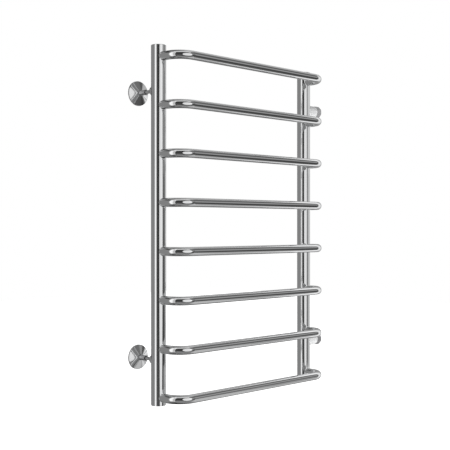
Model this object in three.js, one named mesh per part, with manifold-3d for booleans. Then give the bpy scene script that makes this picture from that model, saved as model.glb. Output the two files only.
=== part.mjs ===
// Wall-hung water towel warmer: two upright collectors joined by eight bowed rungs.
// Millimetres, +Z up. The wall is the plane y = 0 and the rack stands out from it towards -Y.
// The origin is the middle of the upper wall socket's back face.
import * as THREE from "three";
import { mergeVertices } from "three/addons/utils/BufferGeometryUtils.js";
import Module from "manifold-3d";

const wasm = await Module();
wasm.setup();

// Rack
const COLLECTOR_CENTRES = 500;
const COLLECTOR_HEIGHT = 800; // from cap face to cap face
const COLLECTOR_RADIUS = 16.85;
const COLLECTOR_WALL = 2;
const WALL_DISTANCE = 73; // from the wall to the collectors' axes
const FITTING_CENTRES = 600; // between the two brackets, and between the two side stubs
const GAP = 0.3; // left between pieces that touch or are welded
const OVERSHOOT = 1; // how far a cutting shape reaches past the face it opens
const WELD_DISTANCE = 1e-4; // points closer than this are one point of a solid

// Rungs
const RUNG_COUNT = 8;
const RUNG_PITCH = 108;
const RUNG_RADIUS = 10;
const RUNG_WALL = 1.5;
const RUNG_REACH = 68; // from the collectors' axes to the rung's straight run
const RUNG_BEND = 40; // bend radius of the tube's centre line
const RUNG_ROOT = 12; // from the collectors' axes to the raw tube ends, before they are coped
const TOP_MARGIN = 26; // from the first rung's centre line up to the cap face

// Caps and bleed screw
const CAP_THICKNESS = 3;
const CAP_SPIGOT = 6;
const CAP_CHAMFER = 0.8;
const BLEED_HEAD_RADIUS = 5;
const BLEED_HEAD_HEIGHT = 2.2;
const BLEED_SHANK_RADIUS = 3;
const BLEED_SHANK_LENGTH = 8;
const BLEED_SLOT_WIDTH = 1.2;
const BLEED_SLOT_DEPTH = 1.2;
const SEAL_HEIGHT = 1.2;

// Side stubs and union nuts, lengths counted from the collector's axis
const STUB_RADIUS = 15;
const STUB_BORE = 8;
const STUB_END = 40;
const NECK_RADIUS = 10.5;
const TAIL_RADIUS = 11.9;
const TAIL_THICKNESS = 2.5;
const NUT_START = 40.5;
const NUT_END = 55;
const NUT_FLATS = 30; // across the flats
const NUT_SIDES = 8;
const NUT_LIP = 3;
const NUT_LIP_BORE = 10.9;
const NUT_THREAD_BORE = 12.2;
const NUT_CHAMFER = 1.4;
const GASKET_THICKNESS = 2;
const GASKET_RADIUS = 11.7;

// Wall brackets, lengths counted from the wall
const HUB_RADIUS = 6;
const HUB_BORE = 4.9;
const HUB_LENGTH = 30;
const BASE_RADIUS = 20;
const BASE_THICKNESS = 2.5;
const BASE_SCREW_RADIUS = 2.25;
const BASE_SCREW_CENTRES = 28;
const ROSETTE_RADIUS = 28;
const ROSETTE_RIM = 3.5;
const ROSETTE_HEIGHT = 11.5;
const ROSETTE_BORE = 6.4;
const ROSETTE_SHEET = 1;
const BUSH_LENGTH = 4;
const BUSH_RADIUS = 4.65;
const BUSH_BORE = 4.3;
const ROD_RADIUS = 4;
const ROD_BACK = 11.5;
const ROD_FRONT = 53;
const BOSS_TIP = 44.5;
const BOSS_SHOULDER = 52.5;
const BOSS_TIP_RADIUS = 5;
const BOSS_RADIUS = 10;
const BOSS_SOCKET = 54;
const SET_SCREW_PLACE = 19;
const SET_SCREW_RADIUS = 2;
const SET_SCREW_HEX = 2;
const SET_SCREW_RECESS = 1;

// Sides of the round pieces and steps of a bend
const COLLECTOR_SIDES = 24;
const RUNG_SIDES = 12;
const BORE_SIDES = 8;
const BEND_STEPS = 5;
const FITTING_SIDES = 20;
const ROSETTE_SIDES = 32;
const SCREW_SIDES = 12;

const chrome = () => new THREE.MeshStandardMaterial({ color: 0xd9dadc, roughness: 0.06, metalness: 1 });
const satin = () => new THREE.MeshStandardMaterial({ color: 0xd2d3d5, roughness: 0.36, metalness: 1 });
const steel = () => new THREE.MeshStandardMaterial({ color: 0xb4b6b8, roughness: 0.3, metalness: 1 });
const rubber = () => new THREE.MeshStandardMaterial({ color: 0x1c1d1e, roughness: 0.75, metalness: 0 });
const plastic = () => new THREE.MeshStandardMaterial({ color: 0x17181a, roughness: 0.5, metalness: 0 });

function solidOf(geometry) {
  const bare = geometry.clone();
  bare.deleteAttribute("normal");
  bare.deleteAttribute("uv");
  const merged = mergeVertices(bare, WELD_DISTANCE);
  return new wasm.Manifold(
    new wasm.Mesh({
      numProp: 3,
      vertProperties: new Float32Array(merged.attributes.position.array),
      triVerts: new Uint32Array(merged.index.array),
    }),
  );
}

function geometryOf(solid) {
  const mesh = solid.getMesh();
  const geometry = new THREE.BufferGeometry();
  geometry.setAttribute("position", new THREE.BufferAttribute(mesh.vertProperties, 3));
  geometry.setIndex(new THREE.BufferAttribute(mesh.triVerts, 1));
  geometry.computeVertexNormals();
  return geometry;
}

function cut(geometry, tools) {
  return geometryOf(tools.reduce((body, tool) => body.subtract(solidOf(tool)), solidOf(geometry)));
}

// A turned piece about +Z. The profile is a list of [radius, height], outer wall upwards.
function turned(profile, sides) {
  const points = profile.map(([radius, height]) => new THREE.Vector2(radius, height));
  return new THREE.LatheGeometry(points, sides).rotateX(Math.PI / 2);
}

// A ring about +Z between two radii and two heights.
function ring(inner, outer, low, high, sides) {
  const profile = [[inner, low], [outer, low], [outer, high], [inner, high], [inner, low]];
  return turned(profile, sides);
}

// A rod about +Z between two heights.
function rod(radius, low, high, sides) {
  return turned([[0, low], [radius, low], [radius, high], [0, high]], sides);
}

// Geometry made about +Z, turned to run along another direction.
const alongX = (geometry) => geometry.rotateY(Math.PI / 2);
const towardsFront = (geometry) => geometry.rotateX(Math.PI / 2);

function named(name, geometry, material) {
  const mesh = new THREE.Mesh(geometry, material);
  mesh.name = name;
  return mesh;
}

// Collectors: drilled tubes about +Z, with their middle at the origin.
const tubeHalf = COLLECTOR_HEIGHT / 2 - CAP_THICKNESS - GAP;
const collectorBore = COLLECTOR_RADIUS - COLLECTOR_WALL;
const rungBore = RUNG_RADIUS - RUNG_WALL;
const rungHeights = Array.from(
  { length: RUNG_COUNT },
  (_, index) => COLLECTOR_HEIGHT / 2 - TOP_MARGIN - index * RUNG_PITCH,
);

function collectorGeometry(stubHeights) {
  const reach = COLLECTOR_RADIUS + GAP;
  const rungHoles = rungHeights.map((height) =>
    towardsFront(rod(rungBore, 0, reach, BORE_SIDES)).translate(0, 0, height),
  );
  const stubHoles = stubHeights.map((height) =>
    alongX(rod(STUB_BORE, 0, reach, BORE_SIDES)).translate(0, 0, height),
  );
  const tube = ring(collectorBore, COLLECTOR_RADIUS, -tubeHalf, tubeHalf, COLLECTOR_SIDES);
  return cut(tube, [...rungHoles, ...stubHoles]);
}

// The cutter that fits a welded piece to a collector's round side.
const saddle = () => rod(COLLECTOR_RADIUS + GAP, -RUNG_PITCH, RUNG_PITCH, COLLECTOR_SIDES);

// Caps: a plug with a flange, its outer face at z = 0.
function capGeometry() {
  const spigot = collectorBore - GAP;
  const profile = [
    [0, -CAP_THICKNESS - CAP_SPIGOT],
    [spigot, -CAP_THICKNESS - CAP_SPIGOT],
    [spigot, -CAP_THICKNESS],
    [COLLECTOR_RADIUS, -CAP_THICKNESS],
    [COLLECTOR_RADIUS, -CAP_CHAMFER],
    [COLLECTOR_RADIUS - CAP_CHAMFER, 0],
    [0, 0],
  ];
  return turned(profile, COLLECTOR_SIDES);
}

const headPocket = BLEED_HEAD_HEIGHT + SEAL_HEIGHT + 2 * GAP;

function bleedCapGeometry() {
  const pocket = rod(BLEED_HEAD_RADIUS + GAP, -headPocket, OVERSHOOT, SCREW_SIDES);
  const capInside = -CAP_THICKNESS - CAP_SPIGOT;
  const hole = rod(BLEED_SHANK_RADIUS + GAP, capInside - OVERSHOOT, 0, SCREW_SIDES);
  return cut(capGeometry(), [pocket, hole]);
}

function bleedScrewGeometry() {
  const profile = [
    [0, -BLEED_HEAD_HEIGHT - BLEED_SHANK_LENGTH],
    [BLEED_SHANK_RADIUS, -BLEED_HEAD_HEIGHT - BLEED_SHANK_LENGTH],
    [BLEED_SHANK_RADIUS, -BLEED_HEAD_HEIGHT],
    [BLEED_HEAD_RADIUS, -BLEED_HEAD_HEIGHT],
    [BLEED_HEAD_RADIUS, 0],
    [0, 0],
  ];
  const slotLength = 2 * (BLEED_HEAD_RADIUS + OVERSHOOT);
  const slot = new THREE.BoxGeometry(slotLength, BLEED_SLOT_WIDTH, 2 * BLEED_SLOT_DEPTH);
  return cut(turned(profile, SCREW_SIDES), [slot]);
}

function bleedSealGeometry() {
  const top = -BLEED_HEAD_HEIGHT - GAP;
  const inner = BLEED_SHANK_RADIUS + GAP;
  return ring(inner, BLEED_HEAD_RADIUS - GAP, top - SEAL_HEIGHT, top, SCREW_SIDES);
}

// Rungs: the centre line runs out of one collector, bends, crosses in front and comes back.
class RungLine extends THREE.Curve {
  constructor() {
    super();
    const half = COLLECTOR_CENTRES / 2;
    const left = [new THREE.Vector3(-half, -RUNG_ROOT, 0)];
    for (let step = 0; step <= BEND_STEPS; step += 1) {
      const angle = (step / BEND_STEPS) * (Math.PI / 2);
      const across = RUNG_BEND * (1 - Math.cos(angle));
      const forward = RUNG_REACH - RUNG_BEND + RUNG_BEND * Math.sin(angle);
      left.push(new THREE.Vector3(across - half, -forward, 0));
    }
    const right = left.map((point) => new THREE.Vector3(-point.x, point.y, 0)).reverse();
    this.stations = [...left, ...right];
  }

  get steps() {
    return this.stations.length - 1;
  }

  // Equal steps of the parameter land on the stations.
  getUtoTmapping(u) {
    return u;
  }

  getPoint(t, target = new THREE.Vector3()) {
    const place = t * this.steps;
    const index = Math.min(Math.floor(place), this.steps - 1);
    return target.lerpVectors(this.stations[index], this.stations[index + 1], place - index);
  }
}

function circlePoints(radius, sides) {
  return Array.from({ length: sides }, (_, index) => {
    const angle = (index / sides) * 2 * Math.PI;
    return new THREE.Vector2(radius * Math.cos(angle), radius * Math.sin(angle));
  });
}

function rungGeometry() {
  const section = new THREE.Shape(circlePoints(RUNG_RADIUS, RUNG_SIDES));
  section.holes.push(new THREE.Path(circlePoints(rungBore, BORE_SIDES)));
  const line = new RungLine();
  const tube = new THREE.ExtrudeGeometry(section, { steps: line.steps, extrudePath: line });
  const half = COLLECTOR_CENTRES / 2;
  return cut(tube, [saddle().translate(-half, 0, 0), saddle().translate(half, 0, 0)]);
}

// Side stub about +Z, from the collector's axis outwards: body, neck and the tail that holds the nut.
const tailStart = NUT_START + NUT_LIP + GAP;
const tailEnd = tailStart + TAIL_THICKNESS;

function stubGeometry() {
  const profile = [
    [STUB_BORE, 0],
    [STUB_RADIUS, 0],
    [STUB_RADIUS, STUB_END],
    [NECK_RADIUS, STUB_END],
    [NECK_RADIUS, tailStart],
    [TAIL_RADIUS, tailStart],
    [TAIL_RADIUS, tailEnd],
    [STUB_BORE, tailEnd],
    [STUB_BORE, 0],
  ];
  return cut(alongX(turned(profile, FITTING_SIDES)), [saddle()]);
}

function nutGeometry() {
  const halfSide = Math.PI / NUT_SIDES;
  const corner = NUT_FLATS / 2 / Math.cos(halfSide);
  const length = NUT_END - NUT_START;
  const bar = new THREE.CylinderGeometry(corner, corner, length, NUT_SIDES, 1, false, halfSide);
  bar.rotateX(Math.PI / 2).translate(0, 0, (NUT_START + NUT_END) / 2);
  const crown = turned(
    [
      [0, NUT_START],
      [corner - NUT_CHAMFER, NUT_START],
      [corner, NUT_START + NUT_CHAMFER],
      [corner, NUT_END - NUT_CHAMFER],
      [corner - NUT_CHAMFER, NUT_END],
      [0, NUT_END],
    ],
    FITTING_SIDES,
  );
  const blank = geometryOf(solidOf(bar).intersect(solidOf(crown)));
  const lip = rod(NUT_LIP_BORE, NUT_START - OVERSHOOT, NUT_END + OVERSHOOT, FITTING_SIDES);
  const thread = rod(NUT_THREAD_BORE, NUT_START + NUT_LIP, NUT_END + OVERSHOOT, FITTING_SIDES);
  return alongX(cut(blank, [lip, thread]));
}

function gasketGeometry() {
  const start = tailEnd + GAP;
  return alongX(ring(STUB_BORE, GASKET_RADIUS, start, start + GASKET_THICKNESS, FITTING_SIDES));
}

// Wall brackets, made about +Z from the wall outwards and then turned to face the front.
function wallSocketGeometry() {
  const profile = [
    [0, 0],
    [BASE_RADIUS, 0],
    [BASE_RADIUS, BASE_THICKNESS],
    [HUB_RADIUS, BASE_THICKNESS],
    [HUB_RADIUS, HUB_LENGTH],
    [HUB_BORE, HUB_LENGTH],
    [HUB_BORE, BASE_THICKNESS],
    [0, BASE_THICKNESS],
  ];
  const screwHoles = [-1, 1].map((side) => {
    const hole = rod(BASE_SCREW_RADIUS, -OVERSHOOT, BASE_THICKNESS + OVERSHOOT, SCREW_SIDES);
    return hole.translate(0, (side * BASE_SCREW_CENTRES) / 2, 0);
  });
  const setScrewHole = towardsFront(rod(SET_SCREW_RADIUS + GAP, 0, HUB_RADIUS + OVERSHOOT, SCREW_SIDES));
  setScrewHole.translate(0, 0, SET_SCREW_PLACE);
  return towardsFront(cut(turned(profile, FITTING_SIDES), [...screwHoles, setScrewHole]));
}

function rosetteGeometry() {
  const profile = [
    [ROSETTE_RADIUS - ROSETTE_SHEET, 0],
    [ROSETTE_RADIUS, 0],
    [ROSETTE_RADIUS, ROSETTE_RIM],
    [ROSETTE_BORE, ROSETTE_HEIGHT],
    [ROSETTE_BORE, ROSETTE_HEIGHT - ROSETTE_SHEET],
    [ROSETTE_RADIUS - ROSETTE_SHEET, ROSETTE_RIM - ROSETTE_SHEET],
    [ROSETTE_RADIUS - ROSETTE_SHEET, 0],
  ];
  return towardsFront(turned(profile, ROSETTE_SIDES));
}

function bushGeometry() {
  const start = HUB_LENGTH - BUSH_LENGTH;
  return towardsFront(ring(BUSH_BORE, BUSH_RADIUS, start, HUB_LENGTH, FITTING_SIDES));
}

function rodGeometry() {
  return towardsFront(rod(ROD_RADIUS, ROD_BACK, ROD_FRONT, FITTING_SIDES));
}

function bossGeometry() {
  const profile = [
    [0, BOSS_SOCKET],
    [ROD_RADIUS + GAP, BOSS_SOCKET],
    [ROD_RADIUS + GAP, BOSS_TIP],
    [BOSS_TIP_RADIUS, BOSS_TIP],
    [BOSS_RADIUS, BOSS_SHOULDER],
    [BOSS_RADIUS, WALL_DISTANCE],
    [0, WALL_DISTANCE],
  ];
  const blank = towardsFront(turned(profile, FITTING_SIDES));
  return cut(blank, [saddle().translate(0, -WALL_DISTANCE, 0)]);
}

// Set screw about +Z: its point stops short of the rod and its head is flush with the hub.
function setScrewGeometry() {
  const recessCorner = SET_SCREW_HEX / 2 / Math.cos(Math.PI / 6);
  const screw = rod(SET_SCREW_RADIUS, ROD_RADIUS + GAP, HUB_RADIUS, SCREW_SIDES);
  const recess = rod(recessCorner, HUB_RADIUS - SET_SCREW_RECESS, HUB_RADIUS + OVERSHOOT, 6);
  return cut(screw, [recess]).rotateX(Math.PI);
}

// Assembly. Heights are counted from the upper bracket.
const part = new THREE.Group();
part.name = "towel_warmer_rack";

const wallSide = new THREE.Group();
part.add(wallSide);

const rack = new THREE.Group();
rack.position.set(COLLECTOR_CENTRES / 2, -WALL_DISTANCE, -FITTING_CENTRES / 2);
part.add(rack);

const collectorPlaces = { left: -COLLECTOR_CENTRES / 2, right: COLLECTOR_CENTRES / 2 };
const fittingHeights = { upper: FITTING_CENTRES / 2, lower: -FITTING_CENTRES / 2 };

for (const [side, place] of Object.entries(collectorPlaces)) {
  const stubs = side === "right" ? Object.values(fittingHeights) : [];
  const collector = new THREE.Group();
  collector.position.x = place;
  collector.add(named(`${side}_collector`, collectorGeometry(stubs), chrome()));
  const topGeometry = side === "right" ? bleedCapGeometry() : capGeometry();
  const topCap = named(`${side}_top_cap`, topGeometry, chrome());
  topCap.position.z = COLLECTOR_HEIGHT / 2;
  const bottomCap = named(`${side}_bottom_cap`, capGeometry(), chrome());
  bottomCap.position.z = -COLLECTOR_HEIGHT / 2;
  bottomCap.rotation.x = Math.PI;
  collector.add(topCap, bottomCap);
  rack.add(collector);
}

const bleedGroup = new THREE.Group();
bleedGroup.position.set(collectorPlaces.right, 0, COLLECTOR_HEIGHT / 2);
bleedGroup.add(named("bleed_screw", bleedScrewGeometry(), steel()));
bleedGroup.add(named("bleed_seal", bleedSealGeometry(), rubber()));
rack.add(bleedGroup);

rungHeights.forEach((height, index) => {
  const rung = named(`rung_${index + 1}`, rungGeometry(), chrome());
  rung.position.z = height;
  rack.add(rung);
});

for (const [level, height] of Object.entries(fittingHeights)) {
  const connection = new THREE.Group();
  connection.position.set(collectorPlaces.right, 0, height);
  connection.add(named(`${level}_stub`, stubGeometry(), satin()));
  connection.add(named(`${level}_union_nut`, nutGeometry(), steel()));
  connection.add(named(`${level}_gasket`, gasketGeometry(), rubber()));
  rack.add(connection);

  const bracket = new THREE.Group();
  bracket.position.z = height - fittingHeights.upper;
  bracket.add(named(`${level}_bracket_boss`, bossGeometry(), chrome()));
  bracket.add(named(`${level}_bracket_rod`, rodGeometry(), chrome()));
  bracket.add(named(`${level}_wall_socket`, wallSocketGeometry(), steel()));
  bracket.add(named(`${level}_rosette`, rosetteGeometry(), chrome()));
  bracket.add(named(`${level}_guide_bush`, bushGeometry(), plastic()));
  const setScrew = named(`${level}_set_screw`, setScrewGeometry(), steel());
  setScrew.position.y = -SET_SCREW_PLACE;
  bracket.add(setScrew);
  wallSide.add(bracket);
}

export default part;
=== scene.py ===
"""Looks of the towel warmer rack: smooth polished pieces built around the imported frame, in metres."""

import math

import bmesh
import bpy
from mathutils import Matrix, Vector


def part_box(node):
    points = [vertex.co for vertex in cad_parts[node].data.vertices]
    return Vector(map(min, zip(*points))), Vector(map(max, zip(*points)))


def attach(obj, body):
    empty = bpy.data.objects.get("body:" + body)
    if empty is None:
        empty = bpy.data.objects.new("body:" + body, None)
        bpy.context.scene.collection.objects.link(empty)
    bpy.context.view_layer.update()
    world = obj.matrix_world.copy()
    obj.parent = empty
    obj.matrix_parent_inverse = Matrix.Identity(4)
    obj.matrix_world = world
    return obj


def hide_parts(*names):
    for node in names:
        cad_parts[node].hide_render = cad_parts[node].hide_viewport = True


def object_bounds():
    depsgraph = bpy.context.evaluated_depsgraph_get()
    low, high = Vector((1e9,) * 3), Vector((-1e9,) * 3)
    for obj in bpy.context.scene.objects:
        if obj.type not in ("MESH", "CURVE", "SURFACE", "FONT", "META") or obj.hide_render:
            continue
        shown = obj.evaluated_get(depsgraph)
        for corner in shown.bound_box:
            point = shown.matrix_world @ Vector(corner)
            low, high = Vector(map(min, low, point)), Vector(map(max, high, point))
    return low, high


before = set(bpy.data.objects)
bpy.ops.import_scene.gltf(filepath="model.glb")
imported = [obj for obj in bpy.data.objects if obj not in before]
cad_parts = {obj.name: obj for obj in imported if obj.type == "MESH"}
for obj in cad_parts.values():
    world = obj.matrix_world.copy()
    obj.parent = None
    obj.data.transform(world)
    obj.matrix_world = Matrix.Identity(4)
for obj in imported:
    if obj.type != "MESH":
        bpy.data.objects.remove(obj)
CAD_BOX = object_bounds()

MM = 0.001
X = Vector((1, 0, 0))
Y = Vector((0, 1, 0))
Z = Vector((0, 0, 1))
LEVELS = ("upper", "lower")
SIDES = ("left", "right")
RUNGS = [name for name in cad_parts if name.startswith("rung_")]


def middle(node):
    low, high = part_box(node)
    return (low + high) / 2


def span(node):
    low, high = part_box(node)
    return high - low


# ---------------------------------------------------------------- camera

VIEW_YAW = math.radians(45.0)
VIEW_DISTANCE = 1.979
VIEW_OFFSET = 0.1477
LENS = 71.21
SENSOR = 36.0
SHIFT_UP = 0.0044
RACK_MIDDLE_Y = -0.1


def make_camera():
    """Level camera, to the front left of the rack at the rungs' middle height."""
    forward = Vector((math.sin(VIEW_YAW), math.cos(VIEW_YAW), 0))
    right = Vector((math.cos(VIEW_YAW), -math.sin(VIEW_YAW), 0))
    heights = [middle(name).z for name in RUNGS]
    collector = middle("left_collector")
    target = Vector((collector.x, collector.y, (min(heights) + max(heights)) / 2))
    data = bpy.data.cameras.new("camera")
    data.lens = LENS
    data.sensor_width = SENSOR
    data.shift_y = SHIFT_UP
    data.clip_start = 0.05
    data.clip_end = 60
    camera = bpy.data.objects.new("camera", data)
    bpy.context.scene.collection.objects.link(camera)
    camera.location = target - forward * VIEW_DISTANCE + right * VIEW_OFFSET
    camera.rotation_euler = (math.pi / 2, 0, -VIEW_YAW)
    bpy.context.scene.camera = camera


# ---------------------------------------------------------------- studio

# Large soft surfaces round the studio. Each is: bearing from the rack's front, positive to the
# right, half width, lowest and highest elevation, softness, all in degrees, then its light.
ROOM_LIGHT = 0.045
SCREENS = (
    ("wall_behind", -143, 52, -58, 38, 10, 0.2),
    ("back_glow", 130, 30, -24, 86, 12, 0.25),
    ("right_wall", 92, 24, -76, 80, 16, 0.19),
    ("right_high", 105, 36, 32, 70, 12, 0.15),
    ("right_low", 105, 36, -70, -34, 12, 0.08),
    ("front_right_wall", 32, 26, -2, 74, 20, 0.12),
    ("front_right_floor", 40, 28, -42, -20, 10, 0.05),
    ("front_floor", -52, 22, -32, -10, 12, 0.05),
    ("ceiling", -25, 109, 50, 87, 12, 0.28),
    ("ground", -19, 98, -88, -57, 12, 0.04),
    ("front_glow", 34, 24, 10, 20, 8, 0.06),
    ("front_taper", 22, 10, 9, 17, 8, 0.22),
)

# Softboxes near the rack, all facing its middle: bearing and elevation in degrees, distance, width
# and height in metres, then the brightness of the light's face.
SOFTBOXES = (
    ("left_softbox", -85.5, 6, 2.1, 1.12, 4.4, 0.52),
    ("left_core", -88.5, 4, 2.08, 0.5, 3.2, 0.45),
    ("front_softbox", -9.5, 3, 2.15, 2.08, 2.5, 0.62),
    ("overhead_softbox", -32, 62, 2.8, 3.3, 0.85, 0.5),
    ("right_softbox", 84, -1, 2.1, 1.1, 3.6, 0.26),
    ("low_bounce", 50, -48, 1.05, 0.75, 0.85, 0.26),
    ("right_fill", 47, 13, 4.6, 1.6, 1.3, 0.15),
    ("front_low", -14, -56, 1.05, 2.1, 0.8, 0.18),
)

# The front softbox is oval, so that its reflection tapers where the rungs bend.
OVAL_LIGHTS = ("front_softbox",)

# A white card just off the rack's right end: its place from the right collector's axis, the bearing
# its back faces in degrees, width and height in metres, then the brightness of its face.
END_CARD = (0.153, -0.087, 22, 0.21, 0.9, 0.38)


class Shader:
    """A small helper that adds nodes to a tree and links them."""

    def __init__(self, tree):
        self.tree = tree
        tree.nodes.clear()

    def add(self, kind, **settings):
        node = self.tree.nodes.new(kind)
        for name, value in settings.items():
            setattr(node, name, value)
        return node

    def link(self, source, target):
        self.tree.links.new(source, target)

    def math(self, operation, first, second=None):
        node = self.add("ShaderNodeMath", operation=operation)
        for socket, value in zip(node.inputs, (first, second)):
            if isinstance(value, (int, float)):
                socket.default_value = value
            elif value is not None:
                self.link(value, socket)
        return node.outputs[0]

    def ramp(self, value, low, high):
        """Rises smoothly from 0 at low to 1 at high."""
        node = self.add("ShaderNodeMapRange", interpolation_type="SMOOTHSTEP")
        node.inputs["From Min"].default_value = low
        node.inputs["From Max"].default_value = high
        self.link(value, node.inputs["Value"])
        return node.outputs["Result"]

    def band(self, value, low, high, soft):
        """1 between low and high, falling to 0 over the softness at each edge."""
        rise = self.ramp(value, low - soft / 2, low + soft / 2)
        fall = self.ramp(value, high - soft / 2, high + soft / 2)
        return self.math("SUBTRACT", rise, fall)


def make_world():
    """Soft surroundings for the reflections, with a plain white backdrop behind the rack."""
    world = bpy.data.worlds.new("studio")
    bpy.context.scene.world = world
    world.use_nodes = True
    shader = Shader(world.node_tree)
    coordinates = shader.add("ShaderNodeTexCoord")
    split = shader.add("ShaderNodeSeparateXYZ")
    shader.link(coordinates.outputs["Generated"], split.inputs[0])
    x, y, z = split.outputs
    elevation = shader.math("MULTIPLY", shader.math("ARCSINE", z), 180 / math.pi)
    light = ROOM_LIGHT
    for _, bearing, half, low, high, soft, level in SCREENS:
        turn = math.radians(bearing)
        across = shader.math(
            "ADD",
            shader.math("MULTIPLY", x, math.cos(turn)),
            shader.math("MULTIPLY", y, math.sin(turn)),
        )
        along = shader.math(
            "SUBTRACT",
            shader.math("MULTIPLY", x, math.sin(turn)),
            shader.math("MULTIPLY", y, math.cos(turn)),
        )
        angle = shader.math("MULTIPLY", shader.math("ARCTAN2", across, along), 180 / math.pi)
        mask = shader.math(
            "MULTIPLY",
            shader.band(angle, -half, half, soft),
            shader.band(elevation, low, high, soft),
        )
        light = shader.math("ADD", shader.math("MULTIPLY", mask, level), light)
    studio = shader.add("ShaderNodeBackground")
    studio.inputs["Color"].default_value = (1, 1, 1, 1)
    shader.link(light, studio.inputs["Strength"])
    backdrop = shader.add("ShaderNodeBackground")
    backdrop.inputs["Color"].default_value = (1, 1, 1, 1)
    path = shader.add("ShaderNodeLightPath")
    choose = shader.add("ShaderNodeMixShader")
    shader.link(path.outputs["Is Camera Ray"], choose.inputs[0])
    shader.link(studio.outputs[0], choose.inputs[1])
    shader.link(backdrop.outputs[0], choose.inputs[2])
    output = shader.add("ShaderNodeOutputWorld")
    shader.link(choose.outputs[0], output.inputs["Surface"])


def add_light(name, place, direction, width, height, level):
    """A rectangle or oval of even light that faces against the direction."""
    light = bpy.data.lights.new(name, "AREA")
    light.shape = "ELLIPSE" if name in OVAL_LIGHTS else "RECTANGLE"
    light.size = width
    light.size_y = height
    light.energy = level * math.pi * width * height
    box = bpy.data.objects.new(name, light)
    bpy.context.scene.collection.objects.link(box)
    box.location = place
    box.rotation_euler = direction.to_track_quat("Z", "Y").to_euler()
    box.visible_camera = False


def towards(bearing, elevation):
    turn, rise = math.radians(bearing), math.radians(elevation)
    return Vector((math.sin(turn), -math.cos(turn), 0)) * math.cos(rise) + Z * math.sin(rise)


def make_softboxes():
    left, right = middle("left_collector"), middle("right_collector")
    heights = [middle(name).z for name in RUNGS]
    height = (min(heights) + max(heights)) / 2
    target = Vector(((left.x + right.x) / 2, RACK_MIDDLE_Y, height))
    for name, bearing, elevation, distance, *face in SOFTBOXES:
        direction = towards(bearing, elevation)
        add_light(name, target + direction * distance, direction, *face)
    across, out, bearing, *face = END_CARD
    place = Vector((right.x + across, right.y + out, height))
    add_light("end_card", place, towards(bearing, 0), *face)


FLOOR_DROP = 0.9
FLOOR_SIZE = 24.0


def make_floor():
    mesh = bpy.data.meshes.new("floor")
    half = FLOOR_SIZE / 2
    height = CAD_BOX[0].z - FLOOR_DROP
    signs = ((-1, -1), (1, -1), (1, 1), (-1, 1))
    corners = [(half * across, half * along, height) for across, along in signs]
    mesh.from_pydata(corners, [], [(0, 1, 2, 3)])
    floor = bpy.data.objects.new("floor", mesh)
    bpy.context.scene.collection.objects.link(floor)
    material = bpy.data.materials.new("pale_floor")
    material.use_nodes = True
    shader = material.node_tree.nodes["Principled BSDF"]
    shader.inputs["Base Color"].default_value = (0.95, 0.95, 0.95, 1)
    shader.inputs["Roughness"].default_value = 0.9
    shader.inputs["Emission Color"].default_value = (1, 1, 1, 1)
    shader.inputs["Emission Strength"].default_value = 1.2
    floor.data.materials.append(material)
    floor.visible_glossy = False


# ---------------------------------------------------------------- materials

NOISE_RANGE = (0.3, 0.7)  # nearly all of the noise lies between these values
MARKS_DETAIL = 4.0
WAVE_SCALE = 45.0
WAVE_DETAIL = 1.0
BUMP_STRENGTH = 0.5


def surface_noise(shader, scale, detail):
    """Noise over the object's own coordinates."""
    coordinates = shader.add("ShaderNodeTexCoord")
    noise = shader.add("ShaderNodeTexNoise")
    noise.inputs["Scale"].default_value = scale
    noise.inputs["Detail"].default_value = detail
    shader.link(coordinates.outputs["Object"], noise.inputs["Vector"])
    return noise.outputs["Fac"]


def spread(shader, value, low, high):
    """Spreads noise over a range of values."""
    node = shader.add("ShaderNodeMapRange")
    node.inputs["From Min"].default_value = NOISE_RANGE[0]
    node.inputs["From Max"].default_value = NOISE_RANGE[1]
    node.inputs["To Min"].default_value = low
    node.inputs["To Max"].default_value = high
    shader.link(value, node.inputs["Value"])
    return node.outputs["Result"]


def finish_material(name, color, metallic, roughness, fine, fine_height, wave=0.0):
    """A surface whose roughness varies between two values over fine marks, with a slight bump."""
    material = bpy.data.materials.new(name)
    material.use_nodes = True
    shader = Shader(material.node_tree)
    principled = shader.add("ShaderNodeBsdfPrincipled")
    principled.inputs["Base Color"].default_value = (*color, 1)
    principled.inputs["Metallic"].default_value = metallic
    marks = surface_noise(shader, fine, MARKS_DETAIL)
    shader.link(spread(shader, marks, *roughness), principled.inputs["Roughness"])
    bump = shader.add("ShaderNodeBump")
    bump.inputs["Strength"].default_value = BUMP_STRENGTH
    bump.inputs["Distance"].default_value = fine_height
    shader.link(marks, bump.inputs["Height"])
    if wave:
        swell = shader.add("ShaderNodeBump")
        swell.inputs["Strength"].default_value = BUMP_STRENGTH
        swell.inputs["Distance"].default_value = wave
        shader.link(surface_noise(shader, WAVE_SCALE, WAVE_DETAIL), swell.inputs["Height"])
        shader.link(swell.outputs[0], bump.inputs["Normal"])
    shader.link(bump.outputs[0], principled.inputs["Normal"])
    output = shader.add("ShaderNodeOutputMaterial")
    shader.link(principled.outputs[0], output.inputs["Surface"])
    return material


POLISHED = (0.86, 0.865, 0.87)

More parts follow.
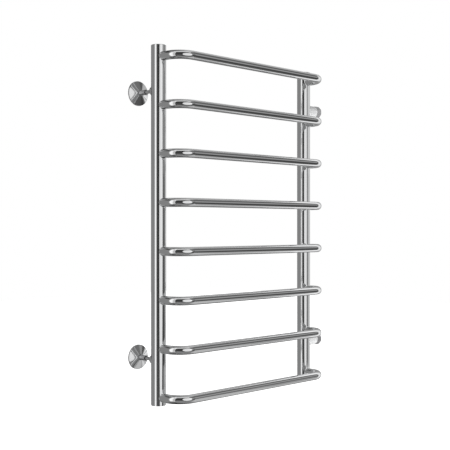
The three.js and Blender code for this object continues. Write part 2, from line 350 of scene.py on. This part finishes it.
# Each finish: colour, metallic, lowest and highest roughness, scale of the fine marks, their height
# in metres and, where the surface also swells gently, the height of that.
FINISHES = {
    "polished_steel": (POLISHED, 1.0, (0.035, 0.075), 900.0, 0.000002, 0.00001),
    "turned_steel": (POLISHED, 1.0, (0.07, 0.13), 1600.0, 0.000004),
    "satin_steel": ((0.8, 0.805, 0.81), 0.35, (0.42, 0.52), 1400.0, 0.00001),
    "turned_dark_steel": ((0.5, 0.5, 0.51), 1.0, (0.1, 0.16), 1600.0, 0.000006),
    "plain_steel": ((0.56, 0.56, 0.57), 1.0, (0.25, 0.4), 1200.0, 0.00002),
    "seal_rubber": ((0.018, 0.018, 0.019), 0.0, (0.6, 0.8), 2500.0, 0.00003),
    # The guide bush's black is partly the plastic's own colour and partly painted shade for the
    # shadowed recess in the hub's mouth.
    "black_plastic": ((0.012, 0.012, 0.013), 0.0, (0.35, 0.5), 1800.0, 0.00001),
}
MATERIALS = {name: finish_material(name, *finish) for name, finish in FINISHES.items()}


# ---------------------------------------------------------------- mesh building

SHARP = math.radians(38)
ROUND = 96
FILLET_STEPS = 5
REACH = 0.42  # the most of a side that one fillet may take
HOLD = 0.3 * MM  # how far beside a fillet an extra ring keeps the flat part of a face true
HOLD_SHARE = 0.07  # the most of a side that a hold may take


class Rings:
    """A mesh made of rings of points, each joined to the next; a ring may be a single point."""

    def __init__(self):
        self.verts = []
        self.rings = []

    def add(self, points):
        self.rings.append(list(range(len(self.verts), len(self.verts) + len(points))))
        self.verts += points

    def circle(self, centre, across, up, radius, sides):
        if radius < 1e-9:
            self.add([centre])
            return
        self.add([centre + (across * c + up * s) * radius for c, s in around(sides)])

    def saddle(self, centre, out, across, radius, lift, sides):
        """A ring that follows a collector's round side, lifted off it, where a part leaves the tube."""
        points = []
        for c, s in around(sides):
            sideways = radius * c
            depth = math.sqrt(max(tube * tube - sideways * sideways, 0)) + lift
            points.append(centre + across * sideways + Z * radius * s + out * depth)
        self.add(points)

    def weld(self, centre, out, across, radius, size, sides, end=False):
        """A concave weld from under the collector's skin to the side of the part that leaves it."""
        steps = [(radius + size, -0.3 * MM)]
        for step in range(WELD_STEPS + 1):
            angle = step / WELD_STEPS * math.pi / 2
            steps.append((radius + size * (1 - math.sin(angle)), size * (1 - math.cos(angle))))
        steps.append((radius, size + HOLD))
        for ring_radius, lift in reversed(steps) if end else steps:
            self.saddle(centre, out, across, ring_radius, lift, sides)

    def faces(self, closed=False):
        faces = []
        following = self.rings[1:] + self.rings[:1] if closed else self.rings[1:]
        for first, second in zip(self.rings, following):
            faces += bridge(first, second)
        return faces


def around(sides):
    """Cosine and sine of equal steps round a circle."""
    turns = [2 * math.pi * side / sides for side in range(sides)]
    return [(math.cos(turn), math.sin(turn)) for turn in turns]


def bridge(first, second):
    """Faces between two rings, either of which may be a single point."""
    if len(first) == 1 and len(second) == 1:
        return []
    count = max(len(first), len(second))
    faces = []
    for index in range(count):
        after = (index + 1) % count
        if len(first) == 1:
            faces.append((first[0], second[index], second[after]))
        elif len(second) == 1:
            faces.append((first[index], second[0], first[after]))
        else:
            faces.append((first[index], second[index], second[after], first[after]))
    return faces


def finish_mesh(mesh):
    mesh.shade_smooth()
    mesh.set_sharp_from_angle(angle=SHARP)


def add_piece(name, shape, body, replaced, slot, material=None, closed=False):
    """A finished piece: one clean mesh, smooth apart from its edges, riding on its body."""
    mesh = bpy.data.meshes.new(name)
    mesh.from_pydata(shape.verts, [], shape.faces(closed))
    work = bmesh.new()
    work.from_mesh(mesh)
    bmesh.ops.remove_doubles(work, verts=work.verts, dist=1e-7)
    bmesh.ops.recalc_face_normals(work, faces=work.faces)
    work.to_mesh(mesh)
    work.free()
    finish_mesh(mesh)
    mesh.materials.append(MATERIALS[material or slot])
    piece = bpy.data.objects.new(name, mesh)
    bpy.context.scene.collection.objects.link(piece)
    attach(piece, body)
    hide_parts(replaced)
    return piece


def softened(corners):
    """Turns (radius, place, fillet) corners into a profile: each fillet is an arc between two holds."""
    points = []
    for index, (radius, place, fillet) in enumerate(corners):
        here = Vector((radius, place))
        if not fillet or index in (0, len(corners) - 1):
            points.append(here)
            continue
        before = Vector(corners[index - 1][:2]) - here
        after = Vector(corners[index + 1][:2]) - here
        half = before.angle(after) / 2
        reach = min(fillet / math.tan(half), REACH * before.length, REACH * after.length)
        start = here + before.normalized() * reach
        end = here + after.normalized() * reach
        bulge = reach * math.tan(half)
        inward = (before.normalized() + after.normalized()).normalized()
        centre = here + inward * (bulge / math.sin(half))
        first = start - centre
        sweep = first.angle_signed(end - centre)
        points.append(start + before.normalized() * min(HOLD, HOLD_SHARE * before.length))
        for step in range(FILLET_STEPS + 1):
            turn = -sweep * step / FILLET_STEPS
            points.append(centre + Vector((
                first.x * math.cos(turn) - first.y * math.sin(turn),
                first.x * math.sin(turn) + first.y * math.cos(turn),
            )))
        points.append(end + after.normalized() * min(HOLD, HOLD_SHARE * after.length))
    return points


def revolved(profile, origin, axis, sides=ROUND):
    """A profile of (radius, place along the axis) turned about an axis."""
    across = axis.orthogonal().normalized()
    shape = Rings()
    for radius, place in profile:
        shape.circle(origin + axis * place, across, axis.cross(across), radius, sides)
    return shape


def cut_with(piece, mesh):
    """Takes a closed mesh out of a piece."""
    cutter = bpy.data.objects.new("cutter", mesh)
    bpy.context.scene.collection.objects.link(cutter)
    modifier = piece.modifiers.new("cut", "BOOLEAN")
    modifier.operation = "DIFFERENCE"
    modifier.solver = "EXACT"
    modifier.object = cutter
    bpy.context.view_layer.update()
    graph = bpy.context.evaluated_depsgraph_get()
    result = bpy.data.meshes.new_from_object(piece.evaluated_get(graph))
    piece.modifiers.clear()
    piece.data = result
    bpy.data.objects.remove(cutter)
    finish_mesh(piece.data)


def cut_round(piece, profile, origin, axis, sides=48):
    shape = revolved(profile, origin, axis, sides)
    mesh = bpy.data.meshes.new("cutter")
    mesh.from_pydata(shape.verts, [], shape.faces())
    cut_with(piece, mesh)


# ---------------------------------------------------------------- rack

tube = span("left_collector").x / 2
COLLECTOR_BORE = tube - 2 * MM
rung_radius = span(RUNGS[0]).z / 2
BEND_RATIO = 4
BEND_STEPS = 32
BEND_HOLD = 0.8 * MM
RUNG_SIDES = 64
WELD = 0.4 * MM
WELD_STEPS = 5


def make_collector(side):
    low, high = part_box(f"{side}_collector")
    half = (high.z - low.z) / 2
    profile = [(COLLECTOR_BORE, -half), (tube, -half), (tube, half), (COLLECTOR_BORE, half)]
    shape = revolved(profile, middle(f"{side}_collector"), Z)
    node = f"{side}_collector"
    add_piece(f"{side}_collector_tube", shape, "rack", node, "polished_steel", closed=True)


CAP_EDGE = 0.9 * MM
CAP_SPIGOT = 6 * MM


def make_cap(side, end):
    """A welded cap, ground flush with the tube, with a softened rim."""
    node = f"{side}_{end}_cap"
    low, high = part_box(node)
    tube_low, tube_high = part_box(f"{side}_collector")
    face = high.z if end == "top" else low.z
    seam = tube_high.z if end == "top" else tube_low.z
    thickness = abs(face - seam)
    spigot = COLLECTOR_BORE - 0.2 * MM
    corners = [
        (0, -thickness - CAP_SPIGOT, 0),
        (spigot, -thickness - CAP_SPIGOT, 0.5 * MM),
        (spigot, -thickness, 0),
        (tube, -thickness, 0),
        (tube, 0, CAP_EDGE),
        (0, 0, 0),
    ]
    if node == "right_top_cap":
        hole = span("bleed_screw").x / 2 + 0.25 * MM
        pocket = span("bleed_seal").z + 3.2 * MM
        corners[-1:] = [(hole, 0, 0.3 * MM), (hole, -pocket, 0), (0, -pocket, 0)]
    origin = Vector((middle(node).x, middle(node).y, face))
    shape = revolved(softened(corners), origin, Z if end == "top" else -Z)
    add_piece(f"{side}_{end}_end_cap", shape, "rack", node, "polished_steel")


def bend_stations(left, front, height):
    """Points and directions along the left bend of a rung's centre line, with a hold at each end."""
    bend = BEND_RATIO * rung_radius
    stations = [(Vector((left, front + bend + BEND_HOLD, height)), -Y)]
    for step in range(BEND_STEPS + 1):
        angle = step / BEND_STEPS * math.pi / 2
        across, back = bend * (1 - math.cos(angle)), bend * (1 - math.sin(angle))
        direction = Vector((math.sin(angle), -math.cos(angle), 0))
        stations.append((Vector((left + across, front + back, height)), direction))
    stations.append((Vector((left + bend + BEND_HOLD, front, height)), X))
    return stations


def make_rung(node):
    low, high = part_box(node)
    left, right = low.x + rung_radius, high.x - rung_radius
    height = (low.z + high.z) / 2
    back = middle("left_collector").y
    stations = bend_stations(left, low.y + rung_radius, height)
    for point, direction in reversed(stations[:]):
        mirrored = Vector((left + right - point.x, point.y, height))
        stations.append((mirrored, Vector((direction.x, -direction.y, 0))))
    shape = Rings()
    start = Vector((left, back, height))
    shape.add([start - Y * (tube - 1 * MM)])
    shape.weld(start, -Y, -X, rung_radius, WELD, RUNG_SIDES)
    for point, direction in stations:
        shape.circle(point, direction.cross(Z), Z, rung_radius, RUNG_SIDES)
    finish = Vector((right, back, height))
    shape.weld(finish, -Y, X, rung_radius, WELD, RUNG_SIDES, end=True)
    shape.add([finish - Y * (tube - 1 * MM)])
    add_piece(f"{node}_tube", shape, "rack", node, "polished_steel")


# ---------------------------------------------------------------- side connections

NUT_SIDES = 8
NUT_STEPS = 192
NUT_CROWN = 0.9 * MM
NUT_CROWN_STEPS = 5
NUT_EDGE = 0.12 * MM
NUT_BORE = 12.2 * MM
NUT_LIP = 3 * MM
NUT_LIP_BORE = 10.9 * MM
NUT_RELIEF = 3.2 * MM
NUT_MOUTH = 0.9 * MM
THREAD_PITCH = 1.8 * MM
THREAD_DEPTH = 1.0 * MM
WATER_BORE = 8 * MM
NECK = 10.5 * MM
TAIL = 11.9 * MM
TAIL_LENGTH = 2.5 * MM


def make_stub(level):
    """Machined stub on the collector's side, with the neck and tail that hold the union nut."""
    node = f"{level}_stub"
    low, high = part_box(node)
    centre = Vector((middle("right_collector").x, middle(node).y, middle(node).z))
    radius = (high.z - low.z) / 2
    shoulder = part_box(f"{level}_union_nut")[0].x - centre.x - 0.4 * MM
    tail_end = high.x - centre.x
    tail_start = tail_end - TAIL_LENGTH
    outside = softened([
        (radius, 25 * MM, 0),
        (radius, shoulder, 0.6 * MM),
        (NECK, shoulder, 0),
        (NECK, tail_start, 0),
        (TAIL, tail_start, 0.3 * MM),
        (TAIL, tail_end, 0.3 * MM),
        (WATER_BORE, tail_end, 0.3 * MM),
        (WATER_BORE, tube, 0),
        (0, tube - 3 * MM, 0),
    ])
    shape = Rings()
    shape.add([centre + X * (tube - 2 * MM)])
    shape.weld(centre, X, Y, radius, WELD, ROUND)
    for ring_radius, place in outside:
        shape.circle(centre + X * place, Y, Z, ring_radius, ROUND)
    add_piece(f"{level}_stub_body", shape, "rack", node, "satin_steel")


def make_nut(level):
    """Octagonal union nut: softened corners, turned crowns and an internal thread."""
    node = f"{level}_union_nut"
    low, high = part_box(node)
    origin = Vector((low.x, middle(node).y, middle(node).z))
    length = high.x - low.x
    flat = (high.z - low.z) / 2
    sector = 2 * math.pi / NUT_SIDES
    corner = flat / math.cos(sector / 2) - NUT_EDGE
    crown = []
    for index in range(NUT_CROWN_STEPS + 1):
        rise = index / NUT_CROWN_STEPS
        crown.append((NUT_CROWN * rise, corner - 1.6 * MM * (1 - rise) ** 1.6))
    shape = Rings()
    for place, limit in crown + [(length - place, limit) for place, limit in reversed(crown)]:
        points = []
        for index, (c, s) in enumerate(around(NUT_STEPS)):
            turn = 2 * math.pi * index / NUT_STEPS
            off = (turn + sector / 2) % sector - sector / 2
            points.append(origin + X * place + (Y * c + Z * s) * min(flat / math.cos(off), limit))
        shape.add(points)
    inside = [(NUT_BORE + NUT_MOUTH, length), (NUT_BORE, length - NUT_MOUTH)]
    thread_end = NUT_LIP + NUT_RELIEF
    turns = int((length - NUT_MOUTH - thread_end) / (THREAD_PITCH / 2))
    for index in range(1, turns + 1):
        depth = THREAD_DEPTH if index % 2 else 0
        inside.append((NUT_BORE + depth, length - NUT_MOUTH - index * THREAD_PITCH / 2))
    inside += [(NUT_BORE, thread_end), (NUT_BORE, NUT_LIP), (NUT_LIP_BORE, NUT_LIP)]
    inside += [(NUT_LIP_BORE, 0.3 * MM), (NUT_LIP_BORE + 0.3 * MM, 0)]
    for radius, place in inside:
        shape.circle(origin + X * place, Y, Z, radius, NUT_STEPS)
    add_piece(f"{level}_nut", shape, node, node, "plain_steel", "turned_dark_steel", closed=True)


def ring_corners(inner, outer, length, fillet):
    """A washer's section that starts and ends in the middle of its bore."""
    return [
        (inner, length / 2, 0),
        (inner, 0, fillet),
        (outer, 0, fillet),
        (outer, length, fillet),
        (inner, length, fillet),
        (inner, length / 2, 0),
    ]


def make_gasket(level):
    node = f"{level}_gasket"
    low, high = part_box(node)
    origin = Vector((low.x, middle(node).y, middle(node).z))
    corners = ring_corners(WATER_BORE, (high.z - low.z) / 2, high.x - low.x, 0.3 * MM)
    shape = revolved(softened(corners), origin, X)
    add_piece(f"{level}_flat_gasket", shape, "rack", node, "seal_rubber")


# ---------------------------------------------------------------- wall brackets

BOSS_SHOULDER = 8 * MM
BOSS_TIP = 5 * MM
ROD_SOCKET = 4.1 * MM
HUB = 6 * MM
HUB_BORE = 4.9 * MM
PLATE = 2.5 * MM
ROSETTE_SHEET = 0.8 * MM
ROSETTE_RIM = 3.5 * MM
ROSETTE_BORE = 6.3 * MM


def make_boss(level):
    """Conical boss welded to the back of the left collector."""
    node = f"{level}_bracket_boss"
    low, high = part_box(node)
    centre = Vector((middle(node).x, middle("left_collector").y, middle(node).z))
    radius = (high.z - low.z) / 2
    tip = high.y - centre.y
    shoulder = tip - BOSS_SHOULDER
    outline = softened([
        (radius, shoulder - 2.5 * MM, 0),
        (radius, shoulder, 2.0 * MM),
        (BOSS_TIP, tip, 0.4 * MM),
        (ROD_SOCKET, tip, 0.2 * MM),
        (ROD_SOCKET, tip - 6 * MM, 0),
        (0, tip - 6 * MM, 0),
    ])
    shape = Rings()
    shape.add([centre + Y * (tube - 2 * MM)])
    shape.weld(centre, Y, X, radius, WELD, ROUND)
    for ring_radius, place in outline:
        shape.circle(centre + Y * place, X, Z, ring_radius, ROUND)
    add_piece(f"{level}_boss", shape, "rack", node, "polished_steel")


def make_rod(level):
    node = f"{level}_bracket_rod"
    low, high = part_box(node)
    origin = Vector((middle(node).x, low.y, middle(node).z))
    radius = (high.z - low.z) / 2
    length = high.y - low.y
    corners = [(0, 0, 0), (radius, 0, 0.3 * MM), (radius, length, 0.5 * MM), (0, length, 0)]
    shape = revolved(softened(corners), origin, Y, 64)
    add_piece(f"{level}_rod", shape, "rack", node, "polished_steel")


def make_wall_socket(level):
    """Base plate and hub tube in one: the plate has two countersunk screw holes."""
    node = f"{level}_wall_socket"
    low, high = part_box(node)
    wall = Vector((middle(node).x, high.y, middle(node).z))
    base = (high.z - low.z) / 2
    length = high.y - low.y
    corners = [
        (0, 0, 0),
        (base, 0, 0.3 * MM),
        (base, PLATE, 0.8 * MM),
        (HUB, PLATE, 0.6 * MM),
        (HUB, length, 0.3 * MM),
        (HUB_BORE, length, 0.2 * MM),
        (HUB_BORE, PLATE, 0),
        (0, PLATE, 0),
    ]
    shape = revolved(softened(corners), wall, -Y)
    piece = add_piece(f"{level}_socket", shape, "wall_mounts", node, "plain_steel")
    for side in (-1, 1):
        countersink = [
            (0, -1 * MM),
            (2.25 * MM, -1 * MM),
            (2.25 * MM, 0.9 * MM),
            (4.4 * MM, PLATE + 0.6 * MM),
            (0, PLATE + 0.6 * MM),
        ]
        cut_round(piece, countersink, wall + Z * side * 14 * MM, -Y)
    screw = middle(f"{level}_set_screw")
    thread = [(0, 0), (2.25 * MM, 0), (2.25 * MM, 8 * MM), (0, 8 * MM)]
    cut_round(piece, thread, Vector((screw.x, screw.y, wall.z)), -Z)


def make_bush(level):
    node = f"{level}_guide_bush"
    low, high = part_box(node)
    mouth = Vector((middle(node).x, low.y, middle(node).z))
    corners = ring_corners(4.3 * MM, (high.z - low.z) / 2 + 0.2 * MM, high.y - low.y, 0.2 * MM)
    shape = revolved(softened(corners), mouth, Y, 64)
    # The bush's black is partly its own plastic and partly painted shade: it darkens the recess between
    # the hub's mouth and the rod, where shadow falls.
    add_piece(f"{level}_bush", shape, "wall_mounts", node, "black_plastic")


def make_rosette(level):
    """Spun cover: a thin cone with a rolled rim that closes against the wall."""
    node = f"{level}_rosette"
    low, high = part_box(node)
    wall = Vector((middle(node).x, high.y, middle(node).z))
    radius = (high.z - low.z) / 2
    height = high.y - low.y
    inside = radius - ROSETTE_SHEET
    corners = [
        (inside, ROSETTE_RIM / 2, 0),
        (inside, 0, 0.2 * MM),
        (radius, 0, 0.3 * MM),
        (radius, ROSETTE_RIM, 0.7 * MM),
        (ROSETTE_BORE, height, 0.3 * MM),
        (ROSETTE_BORE, height - 1.2 * MM, 0.2 * MM),
        (inside, ROSETTE_RIM - ROSETTE_SHEET, 0.4 * MM),
        (inside, ROSETTE_RIM / 2, 0),
    ]
    shape = revolved(softened(corners), wall, -Y, 144)
    add_piece(f"{level}_rosette_cover", shape, node, node, "polished_steel", "turned_steel")


def make_set_screw(level):
    """Grub screw flush with the underside of the hub, with a hexagon socket."""
    node = f"{level}_set_screw"
    low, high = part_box(node)
    head = Vector((middle(node).x, middle(node).y, low.z))
    radius = (high.x - low.x) / 2
    length = high.z - low.z
    corners = [(0, 0, 0), (radius, 0, 0.25 * MM), (radius, length, 0.4 * MM), (0, length, 0)]
    shape = revolved(softened(corners), head, Z, 48)
    piece = add_piece(f"{level}_grub_screw", shape, node, node, "plain_steel")
    socket = [(0, -1 * MM), (1.15 * MM, -1 * MM), (1.15 * MM, 1 * MM), (0, 1 * MM)]
    cut_round(piece, socket, head, Z, 6)


# ---------------------------------------------------------------- bleed screw

BLEED_SHANK = 3 * MM
BLEED_HEAD_HEIGHT = 2.2 * MM
SEAL_STEPS = 16


def make_bleed():
    """Slotted bleed screw sunk in the right cap, and the ring that seals it."""
    low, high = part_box("bleed_screw")
    face = Vector((middle("bleed_screw").x, middle("bleed_screw").y, high.z))
    head = (high.x - low.x) / 2
    length = high.z - low.z
    corners = [
        (0, -length, 0),
        (BLEED_SHANK, -length, 0.6 * MM),
        (BLEED_SHANK, -BLEED_HEAD_HEIGHT, 0.2 * MM),
        (head, -BLEED_HEAD_HEIGHT, 0.2 * MM),
        (head, -0.1 * MM, 0.5 * MM),
        (0, 0, 0),
    ]
    shape = revolved(softened(corners), face, Z, 64)
    screw = add_piece("bleed_plug", shape, "bleed_screw", "bleed_screw", "plain_steel")
    slot = bmesh.new()
    bmesh.ops.create_cube(slot, size=1)
    bmesh.ops.scale(slot, vec=Vector((3.2 * head, 1.2 * MM, 2.4 * MM)), verts=slot.verts)
    bmesh.ops.translate(slot, vec=face, verts=slot.verts)
    mesh = bpy.data.meshes.new("cutter")
    slot.to_mesh(mesh)
    slot.free()
    cut_with(screw, mesh)
    low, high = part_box("bleed_seal")
    outer = (high.x - low.x) / 2
    inner = BLEED_SHANK + 0.3 * MM
    half = (high.z - low.z) / 2
    ring, width = (outer + inner) / 2, (outer - inner) / 2
    section = [(ring + width * c, half + half * s) for c, s in around(SEAL_STEPS)]
    shape = revolved(section, Vector((face.x, face.y, low.z)), Z, 64)
    add_piece("bleed_o_ring", shape, "rack", "bleed_seal", "seal_rubber", closed=True)


# ---------------------------------------------------------------- build

make_camera()
make_world()
make_softboxes()
make_floor()
bpy.context.scene.view_settings.view_transform = "Standard"

for side in SIDES:
    make_collector(side)
    for end in ("top", "bottom"):
        make_cap(side, end)
for rung in RUNGS:
    make_rung(rung)
for level in LEVELS:
    make_stub(level)
    make_nut(level)
    make_gasket(level)
    make_boss(level)
    make_rod(level)
    make_wall_socket(level)
    make_bush(level)
    make_rosette(level)
    make_set_screw(level)
make_bleed()
